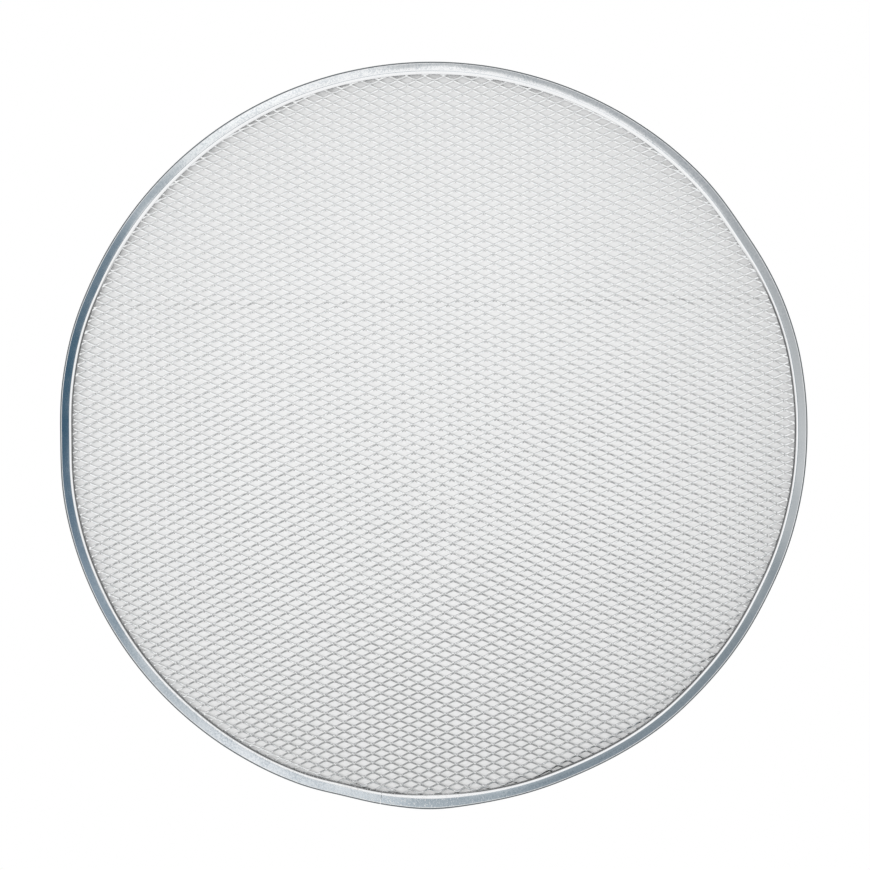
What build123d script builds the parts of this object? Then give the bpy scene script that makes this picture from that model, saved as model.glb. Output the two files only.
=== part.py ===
from build123d import *

import os
from math import atan2, cos, degrees, hypot, pi, radians, sin, sqrt, tan

# A pizza screen: a round sheet of raised expanded aluminium, its edge held in a folded aluminium rim.
# Millimetres. The origin is the centre of the flat underside, +Z is up, and the long way of the mesh's
# diamonds is along X.

# Rim: one strip, folded over the edge of the mesh, with a butt seam where its ends meet
outer_diameter = 406.0
rim_width = 7.0
strip_thickness = 0.6
fold_radius = 1.0
fold_flats = 3
lip_width = 1.9
lip_drop = 0.45
seam_gap = 0.3
seam_angle = 261.0

# Mesh: diamond size, bond to bond along X and along Y, and the section of a strand
long_pitch = 10.1
short_pitch = 5.0
strand_width = 1.0
strand_thickness = 0.72
layer_gap = 0.06
crossings_per_bond = 8
bond_margin = 0.2

# Clearances: mesh to lips, selvedge to the rim's outer fold, selvedge to the bend of the lips
pinch_clearance = 0.05
edge_clearance = 0.3
bend_clearance = 0.3

# Heights: the lips pinch the mesh, and the channel behind them is higher by the drop of both lips
mesh_thickness = 2 * strand_thickness + layer_gap
channel_height = mesh_thickness + 2 * pinch_clearance + 2 * lip_drop
rim_height = channel_height + 2 * strip_thickness
mid_height = rim_height / 2

# Radii
outer_radius = outer_diameter / 2
lip_radius = outer_radius - rim_width
bend_radius = lip_radius + lip_width
selvedge_outer_radius = outer_radius - max(fold_radius, strip_thickness) - edge_clearance
selvedge_inner_radius = bend_radius + bend_clearance
strand_end_radius = (selvedge_outer_radius + selvedge_inner_radius) / 2

# Strand layout: the strands lean this much to X, one family each way, and the last of each family is
# the last that shows inside the lip
strand_angle = degrees(atan2(short_pitch, long_pitch))
strand_spacing = short_pitch * cos(radians(strand_angle))
strand_limit = lip_radius - strand_width

# Rim
# The upper half of the strip's section is drawn from the middle of the outer wall, over the top and
# the lip, and back along the inside. The lip slopes down to the mesh at a constant thickness.
lip_slope = atan2(lip_drop, lip_width)
top = rim_height / 2
ceiling = channel_height / 2
fold_points = [
    (
        outer_radius - fold_radius + fold_radius * cos(step / fold_flats * pi / 2),
        top - fold_radius + fold_radius * sin(step / fold_flats * pi / 2),
    )
    for step in range(fold_flats + 1)
]

seam_direction = Vector(cos(radians(seam_angle)), sin(radians(seam_angle)), 0)
seam_plane = Plane(
    origin=(0, 0, mid_height),
    x_dir=seam_direction,
    z_dir=seam_direction.cross(Vector(0, 0, 1)),
)
seam_opening = degrees(seam_gap / outer_radius)

with BuildPart() as rim:
    with BuildSketch(seam_plane):
        with BuildLine():
            Polyline(
                (outer_radius, 0),
                *fold_points,
                (bend_radius, top),
                (lip_radius, top - lip_drop),
                (
                    lip_radius + strip_thickness * sin(lip_slope),
                    top - lip_drop - strip_thickness * cos(lip_slope),
                ),
                (bend_radius + strip_thickness * tan(lip_slope / 2), ceiling),
                (outer_radius - strip_thickness, ceiling),
                (outer_radius - strip_thickness, 0),
            )
            mirror(about=Plane.XZ)
        make_face()
    revolve(axis=Axis.Z, revolution_arc=360 - seam_opening)
rim.part.label = "rim"


def family_places(lean):
    """Place and length of every strand of one family, which leans by this many degrees to X."""
    count = int(strand_limit / strand_spacing)
    for step in range(-count, count + 1):
        distance = step * strand_spacing
        length = 2 * sqrt(strand_end_radius**2 - distance**2)
        yield Location((0, 0, 0), (0, 0, lean)) * Location((0, distance, 0)), length


def bond_places():
    """Centres of the crossings, at even intervals over the disc, where the two layers are joined."""
    reach = int(outer_diameter / short_pitch / crossings_per_bond)
    for first in range(-reach, reach + 1):
        for second in range(-reach, reach + 1):
            x = (first + second) * crossings_per_bond * long_pitch / 2
            y = (first - second) * crossings_per_bond * short_pitch / 2
            if hypot(x, y) < strand_limit:
                yield x, y


# Mesh
# The sheet is made with its strands straight from side to side, the rising family over the falling
# one. Both run into the selvedge, the crushed edge of the sheet, which fills the rim's channel.
lower_layer = mid_height - mesh_thickness / 2
upper_layer = mid_height + layer_gap / 2
bond_size = strand_width - 2 * bond_margin

with BuildPart() as mesh_disc:
    with BuildSketch(Plane.XY.offset(strip_thickness)):
        Circle(selvedge_outer_radius)
        Circle(selvedge_inner_radius, mode=Mode.SUBTRACT)
    extrude(amount=channel_height)
    for lean, floor in ((-strand_angle, lower_layer), (strand_angle, upper_layer)):
        with BuildSketch(Plane.XY.offset(floor)):
            for place, length in family_places(lean):
                with Locations(place):
                    Rectangle(length, strand_width)
        extrude(amount=strand_thickness)
    with BuildSketch(Plane.XY.offset(lower_layer + strand_thickness / 2)):
        with Locations(*bond_places()):
            Rectangle(bond_size, bond_size)
    extrude(amount=strand_thickness + layer_gap)
mesh_disc.part.label = "mesh_disc"

os.makedirs("parts", exist_ok=True)
export_step(rim.part, "parts/rim.step")
export_step(mesh_disc.part, "parts/mesh_disc.step")
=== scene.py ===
"""An aluminium pizza screen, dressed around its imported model.

The screen has two pieces. A folded strip makes the rim, and a round blank of raised expanded
aluminium makes the mesh. Both are modelled here in metres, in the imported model's frame, and stand for
its plain solids. The studio is a pale floor under a white tent, seen from straight above.
"""

from __future__ import annotations

import logging
import math
from dataclasses import dataclass, field
from enum import Enum

import bmesh
import bpy
from mathutils import Matrix, Vector, noise

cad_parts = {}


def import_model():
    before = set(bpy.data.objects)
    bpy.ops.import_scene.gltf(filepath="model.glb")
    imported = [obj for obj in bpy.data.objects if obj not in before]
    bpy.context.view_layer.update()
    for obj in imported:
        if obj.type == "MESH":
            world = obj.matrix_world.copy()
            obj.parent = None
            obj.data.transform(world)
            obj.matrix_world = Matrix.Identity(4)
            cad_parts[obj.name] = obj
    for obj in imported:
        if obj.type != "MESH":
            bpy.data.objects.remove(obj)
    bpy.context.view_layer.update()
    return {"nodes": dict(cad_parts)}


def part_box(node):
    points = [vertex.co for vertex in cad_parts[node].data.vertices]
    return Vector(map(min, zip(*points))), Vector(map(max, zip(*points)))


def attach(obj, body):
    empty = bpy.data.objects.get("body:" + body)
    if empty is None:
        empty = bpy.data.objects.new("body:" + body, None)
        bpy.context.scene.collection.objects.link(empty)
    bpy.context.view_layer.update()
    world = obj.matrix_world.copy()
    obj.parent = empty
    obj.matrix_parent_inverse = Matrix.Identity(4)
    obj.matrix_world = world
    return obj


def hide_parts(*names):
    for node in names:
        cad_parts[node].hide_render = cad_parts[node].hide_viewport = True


LOG = logging.getLogger("pizza_screen")
MM = 0.001
BODY = "root"
EDGE_CLEARANCE = 3.4 * MM

Pair = tuple[float, float]
Triple = tuple[float, float, float]
Levels = tuple[Pair, ...]
Socket = bpy.types.NodeSocket


class Face(Enum):
    """Which surface of a strand a face belongs to, by the number of its material."""

    ROLLED = 0
    SHEARED = 1


def grey(level: float) -> Triple:
    """A neutral colour of one level."""
    return (level, level, level)


def grey_stops(levels: Levels, reach: float = 1.0) -> list[tuple[float, Triple]]:
    """Stops of a grey ramp, from places that run up to reach and their levels."""
    return [(place / reach, grey(level)) for place, level in levels]


@dataclass(frozen=True)
class Pattern:
    """A noise of a shader: scale per metre, detail, roughness, and a stretch of the axes before it."""

    scale: float
    detail: float
    roughness: float = 0.5
    stretch: Triple | None = None


class ShaderGraph:
    """Adds nodes to one material or world, and links them from left to right."""

    def __init__(self, tree: bpy.types.NodeTree) -> None:
        """Takes the tree and empties it."""
        self.tree = tree
        self.tree.nodes.clear()

    def node(self, kind: str, inputs: dict | None = None, **settings: object) -> bpy.types.Node:
        """Adds a node.

        Args:
            kind: The node's type, without the ShaderNode in front.
            inputs: Values or sockets for its inputs, by name or number.
            settings: Properties of the node.

        Returns:
            The new node.
        """
        made = self.tree.nodes.new(f"ShaderNode{kind}")
        for name, value in settings.items():
            setattr(made, name, value)
        for key, value in (inputs or {}).items():
            if isinstance(value, Socket):
                self.tree.links.new(value, made.inputs[key])
            else:
                made.inputs[key].default_value = value
        return made

    def math(self, operation: str, *values: float | Socket) -> Socket:
        """Adds a Math node on numbers or sockets and returns its result."""
        return self.node("Math", dict(enumerate(values)), operation=operation).outputs[0]

    def parts(self, vector: Socket) -> list[Socket]:
        """Splits a vector into its X, Y and Z."""
        return list(self.node("SeparateXYZ", {0: vector}).outputs)

    def reach(self, first: Socket, second: Socket) -> Socket:
        """Gives the length of a flat vector from its two parts."""
        squares = [self.math("MULTIPLY", part, part) for part in (first, second)]
        return self.math("SQRT", self.math("ADD", *squares))

    def span(self, value: Socket, low: float, high: float, start: float = 0.0, end: float = 1.0) -> Socket:
        """Maps a value so that low gives start and high gives end, and holds it beyond them."""
        limits = {"Value": value, "From Min": low, "From Max": high, "To Min": start, "To Max": end}
        return self.node("MapRange", limits).outputs[0]

    def window(self, value: Socket, low: float, high: float, edge: float) -> Socket:
        """Gives 1 where a value lies between low and high, and fades to 0 over an edge outside them."""
        above = self.span(value, low - edge, low)
        return self.math("MULTIPLY", above, self.span(value, high + edge, high))

    def noise(self, vector: Socket, pattern: Pattern) -> Socket:
        """Adds a noise.

        Args:
            vector: Where to read it.
            pattern: Which noise it is.

        Returns:
            Its value, from 0 to 1.
        """
        if pattern.stretch is not None:
            vector = self.node("Mapping", {"Vector": vector, "Scale": pattern.stretch}).outputs[0]
        made = self.node("TexNoise", {"Vector": vector, "Scale": pattern.scale})
        made.inputs["Detail"].default_value = pattern.detail
        made.inputs["Roughness"].default_value = pattern.roughness
        return made.outputs["Fac"]

    def ramp(self, factor: Socket, stops: list[tuple[float, Triple]]) -> Socket:
        """Adds a colour ramp.

        Args:
            factor: Where on the ramp to read.
            stops: Place from 0 to 1 and colour of each stop, in order.

        Returns:
            The ramp's colour.
        """
        made = self.node("ValToRGB", {"Fac": factor})
        elements = made.color_ramp.elements
        for place, _ in stops[2:]:
            elements.new(place)
        for element, (place, colour) in zip(elements, stops):
            element.position = place
            element.color = (*colour, 1.0)
        return made.outputs["Color"]

    def mix(self, factor: float | Socket, first: Triple | Socket, second: Triple | Socket) -> Socket:
        """Adds a colour mix.

        Args:
            factor: Share of the second colour.
            first: The first colour.
            second: The second colour.

        Returns:
            The mixed colour.
        """
        made = self.node("Mix", {"Factor": factor}, data_type="RGBA")
        for name, value in (("A_Color", first), ("B_Color", second)):
            socket = next(entry for entry in made.inputs if entry.identifier == name)
            if isinstance(value, Socket):
                self.tree.links.new(value, socket)
            else:
                socket.default_value = (*value, 1.0)
        return next(entry for entry in made.outputs if entry.identifier == "Result_Color")


@dataclass(frozen=True)
class StripFinish:
    """Mill-finish strip: rolling lines along it, handling marks, scuffs by the seam, and painted shade on
    the outer fold.

    Of a pair, the first number is where a thing starts, and the second where it is full.
    """

    base: Triple = (0.90, 0.91, 0.92)
    worn: Triple = (0.62, 0.66, 0.70)
    scuffed: Triple = (0.97, 0.97, 0.97)
    # The outer fold's dark colour is painted shade and painted dark reflection, standing for the fold's
    # mirrored surroundings and contact shadow.
    painted_fold_shade: Triple = (0.12, 0.135, 0.145)
    roughness: float = 0.07
    least_rough: float = 0.8
    most_rough: float = 1.5
    rough_blotch: Pair = (0.3, 0.7)
    scuff_roughness: float = 0.30
    painted_fold_shade_roughness: float = 0.6
    painted_fold_shade_gloss: float = 0.1
    seam_angle: float = 0.0
    ring_radius: float = 0.2
    rolling: Pattern = Pattern(1.0, 3.0, stretch=(40.0, 2000.0, 600.0))
    rolling_share: float = 0.35
    blotches: Pattern = Pattern(90.0, 5.0, 0.6)
    blotch_wear: Levels = ((0.35, 0.3), (0.60, 0.9))
    marks: Pattern = Pattern(900.0, 4.0, 0.7)
    mark_wear: Levels = ((0.44, 0.0), (0.60, 1.0))
    least_wear: float = 0.15
    worn_side: Pair = (0.3, 0.8)
    worn_radius: Pair = (197.6 * MM, 198.2 * MM)
    scratches: Pattern = Pattern(1.0, 3.0, 0.6, stretch=(1300.0, 800.0, 600.0))
    scratch_scuff: Levels = ((0.56, 0.0), (0.64, 1.0))
    scuffs_off_seam: Pair = (0.085, 0.020)
    fold_facing: Pair = (0.995, 0.96)
    fold_radius: Pair = (199.3 * MM, 199.8 * MM)
    rolling_height: float = 0.05
    mark_height: float = 0.08
    bump_strength: float = 0.25
    bump_height: float = 0.05 * MM

    def wear(
        self, graph: ShaderGraph, side: Socket, radius: Socket, blotch: Socket, mark: Socket
    ) -> Socket:
        """Gives the share of worn metal, which is highest towards the seam and opposite it.

        Args:
            graph: The material's nodes.
            side: Distance from the screen's middle along the line through the seam.
            radius: Distance from the screen's middle.
            blotch: The wide patches.
            mark: The small marks.

        Returns:
            The share.
        """
        towards = graph.math("ABSOLUTE", graph.math("DIVIDE", side, radius))
        handled = graph.span(towards, *self.worn_side, self.least_wear)
        band = graph.span(radius, *self.worn_radius, self.least_wear)
        patches = graph.ramp(blotch, grey_stops(self.blotch_wear))
        share = graph.math("MULTIPLY", patches, graph.ramp(mark, grey_stops(self.mark_wear)))
        return graph.math("MULTIPLY", graph.math("MULTIPLY", share, handled), band)

    def scuffs(self, graph: ShaderGraph, along: Socket, unrolled: Socket) -> Socket:
        """Gives the share of pale scuffs, which lie on both sides of the seam.

        Args:
            graph: The material's nodes.
            along: Distance along the strip from the place opposite the seam.
            unrolled: Place on the unrolled strip.

        Returns:
            The share.
        """
        start, full = (self.ring_radius * math.pi - off for off in self.scuffs_off_seam)
        by_seam = graph.span(graph.math("ABSOLUTE", along), start, full)
        scratches = graph.ramp(graph.noise(unrolled, self.scratches), grey_stops(self.scratch_scuff))
        return graph.math("MULTIPLY", by_seam, scratches)

    def painted_fold_shade_share(self, graph: ShaderGraph, radius: Socket) -> Socket:
        """Gives the share of painted shade, a dark matte colour that covers the outer fold and its wall.

        Args:
            graph: The material's nodes.
            radius: Distance from the screen's middle.

        Returns:
            The share.
        """
        normal = graph.parts(graph.node("TexCoord").outputs["Normal"])
        folded = graph.span(graph.math("ABSOLUTE", normal[2]), *self.fold_facing)
        return graph.math("MULTIPLY", folded, graph.span(radius, *self.fold_radius))

    def material(self) -> bpy.types.Material:
        """Builds the material on Object coordinates, unrolled round the ring from the seam.

        Returns:
            The material.
        """
        made = bpy.data.materials.new("mill_finish_strip")
        made.use_nodes = True
        graph = ShaderGraph(made.node_tree)
        place = graph.node("TexCoord").outputs["Object"]
        turned = graph.node("Mapping", {"Vector": place, "Rotation": (0, 0, math.pi - self.seam_angle)})
        x, y, z = graph.parts(turned.outputs[0])
        radius = graph.reach(x, y)
        along = graph.math("MULTIPLY", graph.math("ARCTAN2", y, x), self.ring_radius)
        unrolled = graph.node("CombineXYZ", {0: along, 1: radius, 2: z}).outputs[0]
        rolling = graph.noise(unrolled, self.rolling)
        blotch = graph.noise(unrolled, self.blotches)
        mark = graph.noise(unrolled, self.marks)
        scuffs = self.scuffs(graph, along, unrolled)
        painted_fold_shade = self.painted_fold_shade_share(graph, radius)

        colour = graph.mix(self.wear(graph, x, radius, blotch, mark), self.base, self.worn)
        colour = graph.mix(graph.math("MULTIPLY", rolling, self.rolling_share), colour, grey(1.0))
        colour = graph.mix(scuffs, colour, self.scuffed)
        # Painted shade on the outer fold: dark, matte and not metal.
        colour = graph.mix(painted_fold_shade, colour, self.painted_fold_shade)
        least, most = self.roughness * self.least_rough, self.roughness * self.most_rough
        rough = graph.span(blotch, *self.rough_blotch, least, most)
        rough = graph.math("ADD", rough, graph.math("MULTIPLY", scuffs, self.scuff_roughness))
        rough = graph.mix(painted_fold_shade, rough, grey(self.painted_fold_shade_roughness))
        metal = graph.mix(painted_fold_shade, grey(1.0), grey(0.0))
        height = graph.math("ADD", graph.math("MULTIPLY", rolling, self.rolling_height), blotch)
        height = graph.math("ADD", height, graph.math("MULTIPLY", mark, self.mark_height))
        bump = graph.node(
            "Bump", {"Height": height, "Strength": self.bump_strength, "Distance": self.bump_height}
        )
        shader = graph.node(
            "BsdfPrincipled",
            {"Base Color": colour, "Metallic": metal, "Roughness": rough,
             "Specular IOR Level": self.painted_fold_shade_gloss, "Normal": bump.outputs[0]},
        )
        graph.node("OutputMaterial", {"Surface": shader.outputs[0]})
        return made


@dataclass(frozen=True)
class StrandFinish:
    """Aluminium of the strands: bright rolled faces, or rougher faces where the slits were sheared, whose
    darker colour is painted shade.
    """

    name: str
    base: Triple
    dull: Triple
    roughness: float
    least_rough: float = 0.7
    most_rough: float = 1.4
    patches: Pattern = Pattern(700.0, 4.0, 0.6)
    patch_dullness: Levels = ((0.40, 0.0), (0.65, 1.0))
    grain: Pattern = Pattern(4000.0, 2.0)
    bump_strength: float = 0.3
    bump_height: float = 0.01 * MM

    def material(self) -> bpy.types.Material:
        """Builds the material, with fine patches of duller metal.

        Returns:
            The material.
        """
        made = bpy.data.materials.new(self.name)
        made.use_nodes = True
        graph = ShaderGraph(made.node_tree)
        place = graph.node("TexCoord").outputs["Object"]
        patches = graph.noise(place, self.patches)
        grain = graph.noise(place, self.grain)
        colour = graph.mix(graph.ramp(patches, grey_stops(self.patch_dullness)), self.base, self.dull)
        least, most = self.roughness * self.least_rough, self.roughness * self.most_rough
        rough = graph.span(patches, 0.0, 1.0, least, most)
        bump = graph.node(
            "Bump", {"Height": grain, "Strength": self.bump_strength, "Distance": self.bump_height}
        )
        shader = graph.node(
            "BsdfPrincipled",
            {"Base Color": colour, "Metallic": 1.0, "Roughness": rough, "Normal": bump.outputs[0]},
        )
        graph.node("OutputMaterial", {"Surface": shader.outputs[0]})
        return made


def object_from(bm: bmesh.types.BMesh, name: str, materials: list[bpy.types.Material]) -> bpy.types.Object:
    """Turns a finished bmesh into an object at the origin.

    Args:
        bm: The mesh, in metres and in its place. It is freed.
        name: Name of the object and its mesh.
        materials: Its materials, in slot order.

    Returns:
        The object, linked to the scene.
    """
    mesh = bpy.data.meshes.new(name)
    bm.to_mesh(mesh)
    bm.free()
    for material in materials:
        mesh.materials.append(material)
    made = bpy.data.objects.new(name, mesh)
    bpy.context.scene.collection.objects.link(made)
    return made


def shade(bm: bmesh.types.BMesh, sharp_angle: float) -> None:
    """Shades faces smooth, with sharp edges where they bend much.

    Args:
        bm: The mesh.
        sharp_angle: The bend that makes an edge sharp, in degrees.
    """
    limit = math.radians(sharp_angle)
    for face in bm.faces:
        face.smooth = True
    for edge in bm.edges:
        edge.smooth = len(edge.link_faces) == 2 and edge.calc_face_angle(0.0) < limit


@dataclass(frozen=True)
class Kink:
    """A place where handling pushed the rim outwards, or inwards with a swell below 0.

    Angle and spread are in degrees. The lip takes its share of the push, and the outer fold all of it.
    """

    angle: float
    swell: float
    spread: float
    lip_share: float = 1.0

    def at(self, angle: float, across: float) -> float:
        """Gives the push at an angle in radians, and a place across the rim from 0, the lip, to 1."""
        away = math.remainder(angle - math.radians(self.angle), math.tau) / math.radians(self.spread)
        return self.swell * math.exp(-away * away) * (self.lip_share + (1 - self.lip_share) * across)


@dataclass(frozen=True)
class Sway:
    """A slow, random swing round the rim. More waves make it change faster with the direction."""

    size: float
    waves: float
    offset: Triple = (0.0, 0.0, 0.0)

    def at(self, way: Vector) -> float:
        """Gives the swing in a direction from the middle of the screen."""
        return self.size * noise.noise(way * self.waves + Vector(self.offset))


@dataclass
class Rim:
    """The folded strip: one section, spun round from one side of the butt seam to the other."""

    outer_radius: float
    height: float
    width: float = 7.0 * MM
    thickness: float = 0.6 * MM
    fold_radius: float = 1.0 * MM
    fold_segments: int = 8
    inner_fold_segments: int = 4
    bend_round: float = 0.15 * MM
    bend_segments: int = 4
    lip_round: float = 0.15 * MM
    lip_segments: int = 3
    crown: float = 0.04 * MM
    crown_places: Triple = (0.25, 0.5, 0.75)
    lip_width: float = 1.9 * MM
    lip_drop: float = 0.60 * MM
    seam_gap: float = 0.25 * MM
    seam_angle: float = math.radians(261.0)
    steps: int = 480
    merge: float = 0.002 * MM
    sharp_angle: float = 40.0
    oval: float = 0.87 * MM
    oval_angle: float = math.radians(23.0)
    three_sided: float = 0.49 * MM
    three_sided_angle: float = math.radians(4.0)
    slow_sway: Sway = Sway(0.12 * MM, 2.7, (3.1, 0.4, 7.7))
    quick_sway: Sway = Sway(0.12 * MM * 0.35, 11.0)
    lift: Sway = Sway(0.12 * MM, 5.0, (9.0, 2.0, 1.0))
    tilt: Sway = Sway(0.10 * MM, 8.0, (1.0, 5.0, 3.0))
    kinks: tuple[Kink, ...] = (
        Kink(-91.0, 1.30 * MM, 6.0, lip_share=0.15),
        Kink(-105.0, -0.80 * MM, 4.5),
        Kink(-180.0, -1.15 * MM, 6.5),
        Kink(-198.0, 0.45 * MM, 6.0),
        Kink(-328.0, -1.15 * MM, 7.0),
        Kink(-347.0, 0.45 * MM, 8.0),
        Kink(-53.0, 0.50 * MM, 7.0),
        Kink(-68.0, -0.35 * MM, 6.0),
        Kink(-27.0, -0.40 * MM, 6.0),
    )

    def section(self, bm: bmesh.types.BMesh) -> bmesh.types.BMFace:
        """Draws the strip's section as one face in the XZ plane, with its folds rounded.

        The upper half runs from the middle of the outer wall over the top and the lip, and back along
        the inside. Each of its corners has a radius and a number of segments.

        Args:
            bm: The mesh that gets the face.

        Returns:
            The face.
        """
        outer = self.outer_radius
        lip = outer - self.width
        bend = lip + self.lip_width
        slope = math.atan2(self.lip_drop, self.lip_width)
        under = self.thickness * math.sin(slope)
        below = self.thickness * math.cos(slope)
        inner_bend = bend + self.thickness * math.tan(slope / 2)
        wall = outer - self.thickness
        top = self.height / 2
        ceiling = top - self.thickness
        half = [(outer, top - self.crown, self.fold_radius, self.fold_segments)]
        for place in self.crown_places:
            half.append((outer + place * (bend - outer), top - self.crown * (2 * place - 1) ** 2, 0.0, 0))
        half += [
            (bend, top - self.crown, self.bend_round, self.bend_segments),
            (lip, top - self.lip_drop, self.lip_round, self.lip_segments),
            (lip + under, top - self.lip_drop - below, 0.0, 0),
            (inner_bend, ceiling, 0.0, 0),
            (wall, ceiling, self.fold_radius - self.thickness, self.inner_fold_segments),
        ]
        points = half + [(x, -z, radius, segments) for x, z, radius, segments in reversed(half)]
        verts = [bm.verts.new((x, 0, z + top)) for x, z, _, _ in points]
        bm.faces.new(verts)
        corners: dict[tuple[float, int], list[bmesh.types.BMVert]] = {}
        for vert, (_, _, radius, segments) in zip(verts, points):
            if radius > 0:
                corners.setdefault((radius, segments), []).append(vert)
        for (radius, segments), picked in corners.items():
            bmesh.ops.bevel(
                bm, geom=picked, offset=radius, offset_type="OFFSET", segments=segments,
                profile=0.5, affect="VERTICES", material=-1,
            )
        return next(iter(bm.faces))

    def form(self, bm: bmesh.types.BMesh) -> None:
        """Gives the ring its hand-formed shape: oval, kinked, with slow waves of radius and height.

        Args:
            bm: The even ring.
        """
        for vert in bm.verts:
            angle = math.atan2(vert.co.y, vert.co.x)
            radius = math.hypot(vert.co.x, vert.co.y)
            way = Vector((math.cos(angle), math.sin(angle), 0))
            across = (radius - self.outer_radius + self.width) / self.width
            share = vert.co.z / self.height
            swell = self.oval * math.cos(2 * (angle - self.oval_angle))
            swell += self.three_sided * math.cos(3 * (angle - self.three_sided_angle))
            swell += self.slow_sway.at(way)
            swell += self.quick_sway.at(way)
            swell += sum(kink.at(angle, across) for kink in self.kinks)
            rise = self.lift.at(way) * share + self.tilt.at(way) * (across - 0.5) * share
            vert.co += way * swell + Vector((0, 0, rise))

    def build(self, finish: StripFinish) -> bpy.types.Object:
        """Makes the rim.

        Args:
            finish: The strip's finish.

        Returns:
            The rim's object.
        """
        bm = bmesh.new()
        face = self.section(bm)
        opening = self.seam_gap / self.outer_radius
        turn = Matrix.Rotation(self.seam_angle + opening / 2, 4, "Z")
        bmesh.ops.transform(bm, matrix=turn, verts=bm.verts)
        start = bmesh.ops.duplicate(bm, geom=[face, *face.edges, *face.verts])["geom"]
        cap = [item for item in start if isinstance(item, bmesh.types.BMFace)]
        bmesh.ops.reverse_faces(bm, faces=cap)
        bmesh.ops.spin(
            bm, geom=[face], cent=(0, 0, 0), axis=(0, 0, 1), angle=math.tau - opening,
            steps=self.steps, use_merge=False, use_duplicate=False,
        )
        bmesh.ops.remove_doubles(bm, verts=bm.verts, dist=self.merge)
        self.form(bm)
        bmesh.ops.recalc_face_normals(bm, faces=bm.faces)
        shade(bm, self.sharp_angle)
        return object_from(bm, "folded_rim", [finish.material()])


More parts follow.
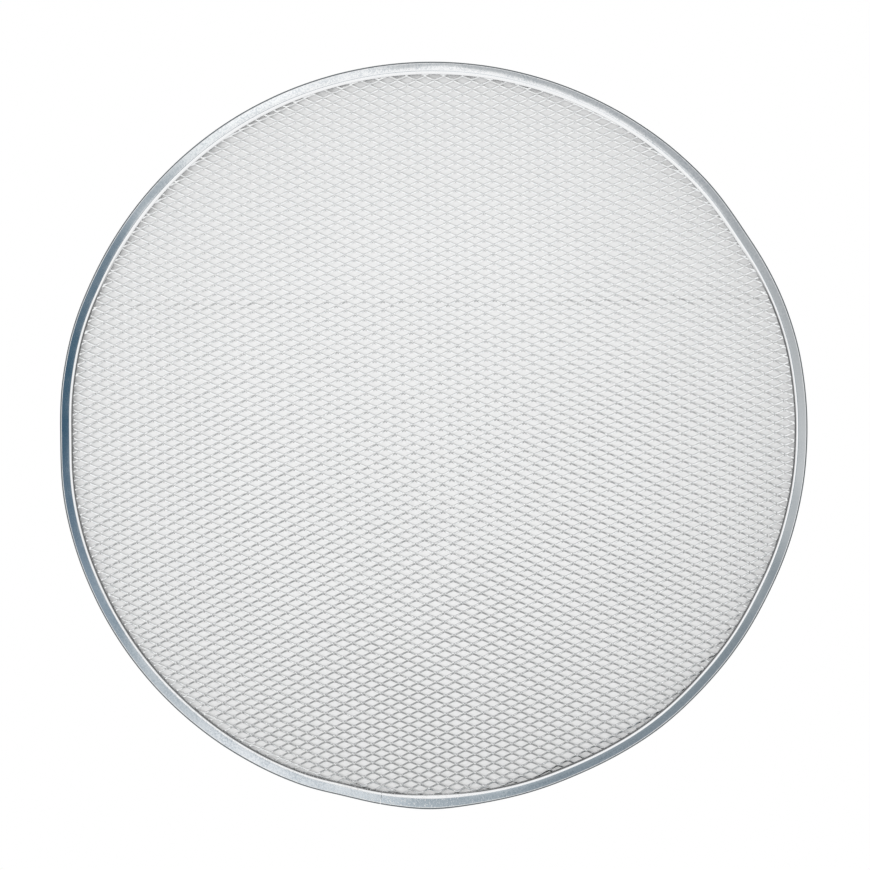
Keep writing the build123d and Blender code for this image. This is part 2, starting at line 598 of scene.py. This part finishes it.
@dataclass
class ExpandedSheet:
    """The mesh: a slit and stretched sheet, whose strands all lean the same way.

    Each strand zigzags along X, and is bonded by turns to the strand above it and the one below. A bond
    is a plate two strands wide, with a crease along X near its middle: it leans back by the lower lean
    below the crease and by the upper lean above it. A strand leaves a bond's upper half and climbs to
    the lower half of the next one, and its crease bows towards its upper edge on the way. So it turns
    from one lean to the other, and the sheet stands higher than its metal is thick.

    The stretched sheet isn't even. It fans out from right to left, has one tight row, and was waved and
    rippled by handling. It is cut to a round blank and flattened towards the edge, where the rim grips.
    """

    radius: float
    mid_height: float
    long_pitch: float = 10.1 * MM
    short_pitch: float = 5.0 * MM
    strand_width: float = 0.86 * MM
    thickness: float = 0.42 * MM
    bond_length: float = 0.6 * MM
    upper_lean: float = math.radians(27.0)
    lower_lean: float = math.radians(34.0)
    bond_crease: float = -0.22 * MM
    crease_bow: float = 0.36 * MM
    straightness: float = 0.85
    strand_steps: int = 5
    bond_steps: int = 4
    bands: int = 5
    merge: float = 0.01 * MM
    sharp_angle: float = 24.0
    sheared_below: float = 0.7
    fan: float = 0.0224
    tight_row: float = 71.4 * MM
    tight_width: float = 1.8 * MM
    tight_pull: float = 0.12 * MM
    wave_scale: float = 22.0
    wave_swing: Triple = (0.30 * MM, 0.15 * MM, 0.10 * MM)
    ripple_scale: float = 140.0
    ripple_swing: Triple = (0.10 * MM, 0.08 * MM, 0.05 * MM)
    crush: float = 0.72
    crush_from: float = 3.0 * MM
    crush_width: float = 3.6 * MM
    noise_offset: Vector = field(default_factory=lambda: Vector((4.2, 1.3, 8.8)))
    noise_seed: int = 7

    def on_sheet(self, along: float, across: float, row_shift: float, crease: float) -> Vector:
        """Places a point of the leaning sheet.

        Args:
            along: Distance along the row, X.
            across: Distance across the bond from its middle, up its lean.
            row_shift: Distance from the row of bonds below, along Y.
            crease: Where the lower lean ends and the upper one starts, measured as across is.

        Returns:
            The point, at the sheet's middle height.
        """
        low, high = min(across, crease), max(across - crease, 0.0)
        rise = low * math.sin(self.lower_lean) + high * math.sin(self.upper_lean)
        reach = low * math.cos(self.lower_lean) + high * math.cos(self.upper_lean)
        return Vector((along, row_shift + reach, rise))

    def add_bond(self, bm: bmesh.types.BMesh) -> None:
        """Adds the plate of one bond, centred on the origin.

        Args:
            bm: The mesh that gets the plate.
        """
        grid = bmesh.ops.create_grid(bm, x_segments=1, y_segments=self.bond_steps, size=0.5)
        for vert in grid["verts"]:
            along = vert.co.x * self.bond_length
            vert.co = self.on_sheet(along, vert.co.y * 2 * self.strand_width, 0.0, self.bond_crease)

    def add_strand(self, bm: bmesh.types.BMesh, side: int) -> None:
        """Adds the strand from the bond's upper half to the next row's bond, on one side.

        Args:
            bm: The mesh that gets the strand.
            side: 1 towards +X, -1 towards -X.
        """
        grid = bmesh.ops.create_grid(bm, x_segments=self.strand_steps, y_segments=2, size=0.5)
        start = self.bond_length / 2
        end = self.long_pitch / 2 - self.bond_length / 2
        for vert in grid["verts"]:
            share = vert.co.x + 0.5
            ease = share * share * (3 - 2 * share)
            climb = self.straightness * share + (1 - self.straightness) * ease
            across = self.strand_width * (vert.co.y + 0.5 - climb)
            crease = self.bond_crease + self.crease_bow * 4 * share * (1 - share)
            along = side * (start + share * (end - start))
            vert.co = self.on_sheet(along, across, climb * self.short_pitch / 2, crease)
        if side < 0:
            faces = {face for vert in grid["verts"] for face in vert.link_faces}
            bmesh.ops.reverse_faces(bm, faces=list(faces))

    def repeat(self, bm: bmesh.types.BMesh, step: Vector, count: int) -> None:
        """Copies all that the mesh holds.

        Args:
            bm: The mesh.
            step: How much further each copy lies.
            count: Number of copies.
        """
        source = [*bm.verts, *bm.edges, *bm.faces]
        for number in range(1, count + 1):
            copied = bmesh.ops.duplicate(bm, geom=source)["geom"]
            verts = [item for item in copied if isinstance(item, bmesh.types.BMVert)]
            bmesh.ops.translate(bm, verts=verts, vec=step * number)

    def strained(self, place: Vector) -> Vector:
        """Moves a point of the even sheet to where stretching and handling put it.

        Args:
            place: The point.

        Returns:
            Its new place.
        """
        flat = Vector((place.x, place.y, 0))
        moved = place.copy()
        moved.y -= self.fan * flat.x * flat.y / self.radius
        moved.y -= self.tight_pull * math.tanh((flat.y - self.tight_row) / self.tight_width)
        wave = noise.noise_vector(flat * self.wave_scale + self.noise_offset)
        ripple = noise.noise_vector(flat * self.ripple_scale + self.noise_offset)
        for axis in range(3):
            moved[axis] += self.wave_swing[axis] * wave[axis] + self.ripple_swing[axis] * ripple[axis]
        inside = (self.radius - moved.xy.length - self.crush_from) / self.crush_width
        crushed = 1.0 - self.crush * (1.0 - min(max(inside, 0.0), 1.0))
        moved.z = self.mid_height + (moved.z - self.mid_height) * crushed
        return moved

    def trim(self, bm: bmesh.types.BMesh) -> None:
        """Takes away what lies outside the round blank."""
        outside = [face for face in bm.faces if face.calc_center_median().xy.length > self.radius]
        bmesh.ops.delete(bm, geom=outside, context="FACES")

    def stretched(self) -> bmesh.types.BMesh:
        """Makes the whole sheet without its thickness.

        Returns:
            The sheet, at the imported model's height.
        """
        bm = bmesh.new()
        self.add_bond(bm)
        self.add_strand(bm, 1)
        self.add_strand(bm, -1)
        columns = 2 * math.ceil(self.radius / self.long_pitch)
        rows = 2 * math.ceil(self.radius / self.short_pitch)
        self.repeat(bm, Vector((self.long_pitch / 2, self.short_pitch / 2, 0)), 1)
        self.repeat(bm, Vector((self.long_pitch, 0, 0)), columns)
        start = Vector((-columns * self.long_pitch / 2, -rows * self.short_pitch / 2, self.mid_height))
        bmesh.ops.translate(bm, verts=bm.verts, vec=start)
        self.repeat(bm, Vector((0, self.short_pitch, 0)), rows)
        bmesh.ops.remove_doubles(bm, verts=bm.verts, dist=self.merge)
        # A vector noise takes its offsets from the seed, which is the clock's until it is set.
        noise.seed_set(self.noise_seed)
        for vert in bm.verts:
            vert.co = self.strained(vert.co)
        self.trim(bm)
        return bm

    def thicken(self, bm: bmesh.types.BMesh) -> None:
        """Gives the sheet its thickness and marks rolled and sheared faces.

        Args:
            bm: The sheet, or a band of it.
        """
        lean = (self.upper_lean + self.lower_lean) / 2
        rolled = Vector((0, -math.sin(lean), math.cos(lean)))
        bmesh.ops.translate(bm, verts=bm.verts, vec=rolled * self.thickness / 2)
        for face in bm.faces:
            face.normal_update()
        flipped = [face for face in bm.faces if face.normal.dot(rolled) < 0]
        bmesh.ops.reverse_faces(bm, faces=flipped)
        bmesh.ops.solidify(bm, geom=bm.faces[:], thickness=self.thickness)
        bmesh.ops.recalc_face_normals(bm, faces=bm.faces)
        for face in bm.faces:
            sheared = abs(face.normal.dot(rolled)) < self.sheared_below
            face.material_index = (Face.SHEARED if sheared else Face.ROLLED).value
        shade(bm, self.sharp_angle)

    def build(self, finishes: list[StrandFinish]) -> list[bpy.types.Object]:
        """Makes the mesh in bands of rows, each a closed piece.

        Args:
            finishes: Finish of the rolled faces, then of the sheared ones.

        Returns:
            The bands, from the lowest Y up.
        """
        materials = [finish.material() for finish in finishes]
        whole = self.stretched()
        made = []
        edges = [self.radius * (2 * number / self.bands - 1) for number in range(self.bands + 1)]
        edges[0] -= self.long_pitch
        edges[-1] += self.long_pitch
        for number in range(self.bands):
            bm = whole.copy()
            others = [
                face for face in bm.faces
                if not edges[number] <= face.calc_center_median().y < edges[number + 1]
            ]
            bmesh.ops.delete(bm, geom=others, context="FACES")
            self.thicken(bm)
            made.append(object_from(bm, f"expanded_mesh_band_{number + 1}", materials))
        whole.free()
        return made


@dataclass(frozen=True)
class Patch:
    """A field of one level in the tent's front, by the X and Z of the directions that lead to it."""

    low_x: float
    high_x: float
    low_z: float
    high_z: float
    level: float


@dataclass(frozen=True)
class Tent:
    """The white tent, and the darker things over and round it that only the metal mirrors.

    A place in it is a direction from the screen, a vector of length 1. The front is towards -Y, the
    lower edge of the photograph, and is dark where Z is below the skyline, which depends on how far X
    is from 0. A drop runs from 0 at the zenith to 1 at the horizon, and a turn from 0 at -X through -Y,
    +X and +Y to 1. The canopy is straight overhead, and has a white gap.
    """

    ambient: float = 0.80
    back: Levels = ((0.0, 1.0), (0.33, 1.0), (0.38, 0.12), (0.58, 0.12), (0.66, 0.62), (1.0, 0.80))
    front_slant: float = 0.35
    front_span: Pair = (0.05, 0.15)
    skyline_reach: float = 0.65
    skyline: Levels = (
        (0.0, 0.325), (0.08, 0.33), (0.13, 0.40), (0.25, 0.445), (0.34, 0.425), (0.40, 0.390),
        (0.43, 0.350), (0.455, 0.280), (0.475, 0.235), (0.50, 0.190), (0.55, 0.165), (0.65, 0.10),
    )
    skyline_edge: float = 0.012
    below_skyline: float = 0.36
    shelf: Levels = ((0.0, 0.90), (0.10, 0.88), (0.14, 0.72), (0.22, 0.72), (0.26, 0.88))
    shelf_drop: Levels = ((0.54, 0.0), (0.57, 1.0), (0.63, 1.0), (0.66, 0.0))
    patch_edge_x: float = 0.03
    patch_edge_z: float = 0.015
    patches: tuple[Patch, ...] = (
        Patch(-0.12, 0.25, 0.42, 0.48, 0.52),
        Patch(-0.12, 0.12, 0.485, 0.545, 0.45),
        Patch(-0.12, 0.12, 0.365, 0.42, 0.92),
        Patch(-0.44, -0.26, 0.38, 0.45, 0.80),
        Patch(0.26, 0.44, 0.38, 0.45, 0.80),
        Patch(-0.60, 0.60, 0.62, 0.80, 0.80),
    )
    canopy_edge: Pair = (math.radians(14.0), math.radians(16.5))
    canopy: tuple[tuple[float, Triple], ...] = (
        (0.00, (0.04, 0.095, 0.15)),
        (0.06, (0.23, 0.30, 0.37)),
        (0.10, (0.40, 0.46, 0.50)),
        (0.165, (0.94, 0.96, 0.98)),
        (0.23, (0.56, 0.62, 0.66)),
        (0.29, (0.25, 0.30, 0.34)),
        (0.42, (0.22, 0.26, 0.29)),
        (0.48, (0.60, 0.62, 0.63)),
        (0.54, (0.45, 0.47, 0.48)),
        (0.62, (0.43, 0.45, 0.47)),
        (0.74, (0.50, 0.52, 0.53)),
        (0.81, (1.10, 1.11, 1.11)),
        (0.85, (0.98, 1.0, 1.0)),
        (0.90, (0.23, 0.29, 0.34)),
        (0.96, (0.055, 0.115, 0.17)),
        (1.00, (0.04, 0.095, 0.15)),
    )
    gap_y: float = 0.08
    gap_edge: Pair = (0.05, 0.075)

    def front(self, graph: ShaderGraph, way: list[Socket], aside: Socket, drop: Socket) -> Socket:
        """Gives the front's level: dark below a skyline, a shelf across it, and patches over both.

        Args:
            graph: The world's nodes.
            way: X, Y and Z of the direction.
            aside: How far X is from 0.
            drop: How far down from the zenith the direction points.

        Returns:
            The level.
        """
        place = graph.math("DIVIDE", aside, self.skyline_reach)
        skyline = graph.ramp(place, grey_stops(self.skyline, self.skyline_reach))
        above = graph.math("SUBTRACT", way[2], skyline)
        above = graph.span(above, -self.skyline_edge, self.skyline_edge)
        level = graph.mix(above, grey(self.below_skyline), grey(1.0))
        shelf = graph.ramp(aside, grey_stops(self.shelf))
        level = graph.mix(graph.ramp(drop, grey_stops(self.shelf_drop)), level, shelf)
        for patch in self.patches:
            beside = graph.window(way[0], patch.low_x, patch.high_x, self.patch_edge_x)
            inside = graph.window(way[2], patch.low_z, patch.high_z, self.patch_edge_z)
            level = graph.mix(graph.math("MULTIPLY", beside, inside), level, grey(patch.level))
        return level

    def overhead(self, graph: ShaderGraph, way: list[Socket]) -> Socket:
        """Gives the colour straight overhead: the canopy, which changes with the turn, and its gap.

        Args:
            graph: The world's nodes.
            way: X, Y and Z of the direction.

        Returns:
            The colour.
        """
        turn = graph.math("DIVIDE", graph.math("ARCTAN2", way[1], way[0]), math.tau)
        colour = graph.ramp(graph.math("ADD", turn, 0.5), list(self.canopy))
        away = graph.reach(way[0], graph.math("SUBTRACT", way[1], self.gap_y))
        return graph.mix(graph.span(away, *self.gap_edge), grey(1.0), colour)

    def build(self) -> None:
        """Makes the world. The camera sees it white, and its diffuse light is even."""
        world = bpy.data.worlds.new("tent")
        bpy.context.scene.world = world
        world.use_nodes = True
        graph = ShaderGraph(world.node_tree)
        way = graph.parts(graph.node("TexCoord").outputs["Generated"])
        from_zenith = graph.math("ARCCOSINE", way[2])
        drop = graph.math("DIVIDE", from_zenith, math.pi / 2)
        aside = graph.math("ABSOLUTE", way[0])
        ahead = graph.math("MULTIPLY", way[1], -1.0)
        ahead = graph.math("SUBTRACT", ahead, graph.math("MULTIPLY", aside, self.front_slant))
        ahead = graph.span(ahead, *self.front_span)
        back = graph.ramp(drop, grey_stops(self.back))
        walls = graph.mix(ahead, back, self.front(graph, way, aside, drop))
        beside = graph.span(from_zenith, *self.canopy_edge)
        mirrored = graph.mix(beside, self.overhead(graph, way), walls)
        path = graph.node("LightPath").outputs
        shown = graph.mix(path["Is Glossy Ray"], grey(self.ambient), mirrored)
        shown = graph.mix(path["Is Camera Ray"], shown, grey(1.0))
        light = graph.node("Background", {"Color": shown, "Strength": 1.0})
        graph.node("OutputWorld", {"Surface": light.outputs[0]})


@dataclass(frozen=True)
class Softbox:
    """A square lamp that faces the screen and isn't seen in its reflections. Its power is in watts."""

    name: str
    place: Triple
    size: float
    power: float

    def hang(self) -> None:
        """Adds the lamp to the scene."""
        data = bpy.data.lights.new(self.name, "AREA")
        data.shape = "SQUARE"
        data.size = self.size
        data.energy = self.power
        lamp = bpy.data.objects.new(self.name, data)
        place = Vector(self.place)
        lamp.location = place
        lamp.rotation_euler = (-place).to_track_quat("-Z", "Y").to_euler()
        lamp.visible_glossy = False
        bpy.context.scene.collection.objects.link(lamp)


@dataclass
class Studio:
    """Floor, tent, lamps and camera. None of it belongs to the screen.

    To the camera, the floor's own white has the share that white_shares gives for each distance from
    the middle, and lamp light with the screen's shadow has the rest. Under the screen that white is
    painted light, which thins the screen's shadow, and its fall to none towards the rim is painted
    shade. Mirrored in the metal, it turns white over mirrored_span.
    """

    camera_height: float = 1.35
    sensor_width: float = 36.0
    frame_pixels: float = 870.0
    screen_pixels: float = 374.0
    centre_pixels: Pair = (431.83, 434.06)
    roll: float = math.radians(-1.05)
    floor_radius: float = 4.0
    floor_segments: int = 96
    floor_albedo: float = 0.82
    white_reach: float = 0.25
    # Under the screen these shares are painted light that thins its shadow, and their fall towards the rim
    # is painted shade.
    white_shares: Levels = (
        (0.0, 0.42), (0.105, 0.42), (0.168, 0.25), (0.190, 0.08), (0.2000, 0.0), (0.2010, 1.0),
    )
    mirrored_span: Pair = (0.200, 0.225)
    lamps: tuple[Softbox, ...] = (
        Softbox("tent_top", (-0.9, 0.2, 1.5), 1.6, 13.0),
        Softbox("key_lamp", (1.2, -1.2, 1.9), 0.5, 6.0),
    )

    def floor(self) -> None:
        """Makes the pale floor, which is white beyond the screen, and under it keeps the screen's shadow
        with painted light and painted shade.
        """
        bm = bmesh.new()
        bmesh.ops.create_circle(bm, cap_ends=True, segments=self.floor_segments, radius=self.floor_radius)
        made = bpy.data.materials.new("pale_floor")
        made.use_nodes = True
        graph = ShaderGraph(made.node_tree)
        path = graph.node("LightPath").outputs
        lit = graph.node("BsdfDiffuse", {"Color": (*grey(self.floor_albedo), 1.0)})
        white = graph.node("Emission", {"Color": (1, 1, 1, 1), "Strength": 1.0})
        spot = graph.node("TexCoord").outputs["Object"]
        distance = graph.node("VectorMath", {0: spot}, operation="LENGTH").outputs["Value"]
        place = graph.math("DIVIDE", distance, self.white_reach)
        seen = graph.ramp(place, grey_stops(self.white_shares, self.white_reach))
        to_camera = graph.math("MULTIPLY", path["Is Camera Ray"], seen)
        mirrored = graph.math("MAXIMUM", path["Is Glossy Ray"], path["Is Transmission Ray"])
        to_metal = graph.math("MULTIPLY", mirrored, graph.span(distance, *self.mirrored_span))
        share = graph.math("ADD", to_camera, to_metal)
        mixed = graph.node("MixShader", {0: share, 1: lit.outputs[0], 2: white.outputs[0]})
        graph.node("OutputMaterial", {"Surface": mixed.outputs[0]})
        floor = object_from(bm, "floor", [made])

    def camera(self, radius: float, height: float) -> None:
        """Hangs the camera straight over the screen, framed as the photograph is.

        Args:
            radius: The screen's outer radius.
            height: The screen's height.
        """
        pixel = radius / self.screen_pixels
        data = bpy.data.cameras.new("overhead_camera")
        data.sensor_width = self.sensor_width
        data.lens = self.sensor_width * (self.camera_height - height) / (pixel * self.frame_pixels)
        camera = bpy.data.objects.new("overhead_camera", data)
        middle = self.frame_pixels / 2
        shift = Vector((middle - self.centre_pixels[0], self.centre_pixels[1] - middle, 0)) * pixel
        turned = Matrix.Rotation(self.roll, 4, "Z")
        camera.matrix_world = Matrix.Translation(turned @ shift) @ turned
        camera.location.z = self.camera_height
        bpy.context.scene.collection.objects.link(camera)
        bpy.context.scene.camera = camera

    def build(self, radius: float, height: float) -> None:
        """Makes the studio round the screen.

        Args:
            radius: The screen's outer radius.
            height: The screen's height.
        """
        self.floor()
        Tent().build()
        for lamp in self.lamps:
            lamp.hang()
        self.camera(radius, height)
        bpy.context.scene.view_settings.view_transform = "Standard"


def main() -> None:
    """Loads the frame, builds the rim, the mesh and the studio."""
    logging.basicConfig(level=logging.INFO, format="%(name)s: %(message)s")
    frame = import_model()
    LOG.info("packed nodes %s", sorted(frame["nodes"]))

    low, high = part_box("rim")
    outer_radius = (high[0] - low[0]) / 2
    height = high[2] - low[2]

    rim = Rim(outer_radius=outer_radius, height=height)
    ring = rim.build(StripFinish(seam_angle=rim.seam_angle))
    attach(ring, BODY)
    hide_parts("rim")
    LOG.info("%s: %d faces", ring.name, len(ring.data.polygons))

    sheet = ExpandedSheet(radius=outer_radius - EDGE_CLEARANCE, mid_height=low[2] + height / 2)
    finishes = [
        StrandFinish("rolled_strand_face", (0.95, 0.96, 0.96), (0.86, 0.88, 0.89), 0.06),
        # The sheared faces are rougher, and their darker colour is painted shade.
        StrandFinish("sheared_strand_edge", (0.60, 0.62, 0.63), (0.48, 0.50, 0.51), 0.40),
    ]
    for band in sheet.build(finishes):
        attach(band, BODY)
        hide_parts("mesh_disc")
        LOG.info("%s: %d faces", band.name, len(band.data.polygons))

    Studio().build(outer_radius, height)


if __name__ == "__main__":
    main()
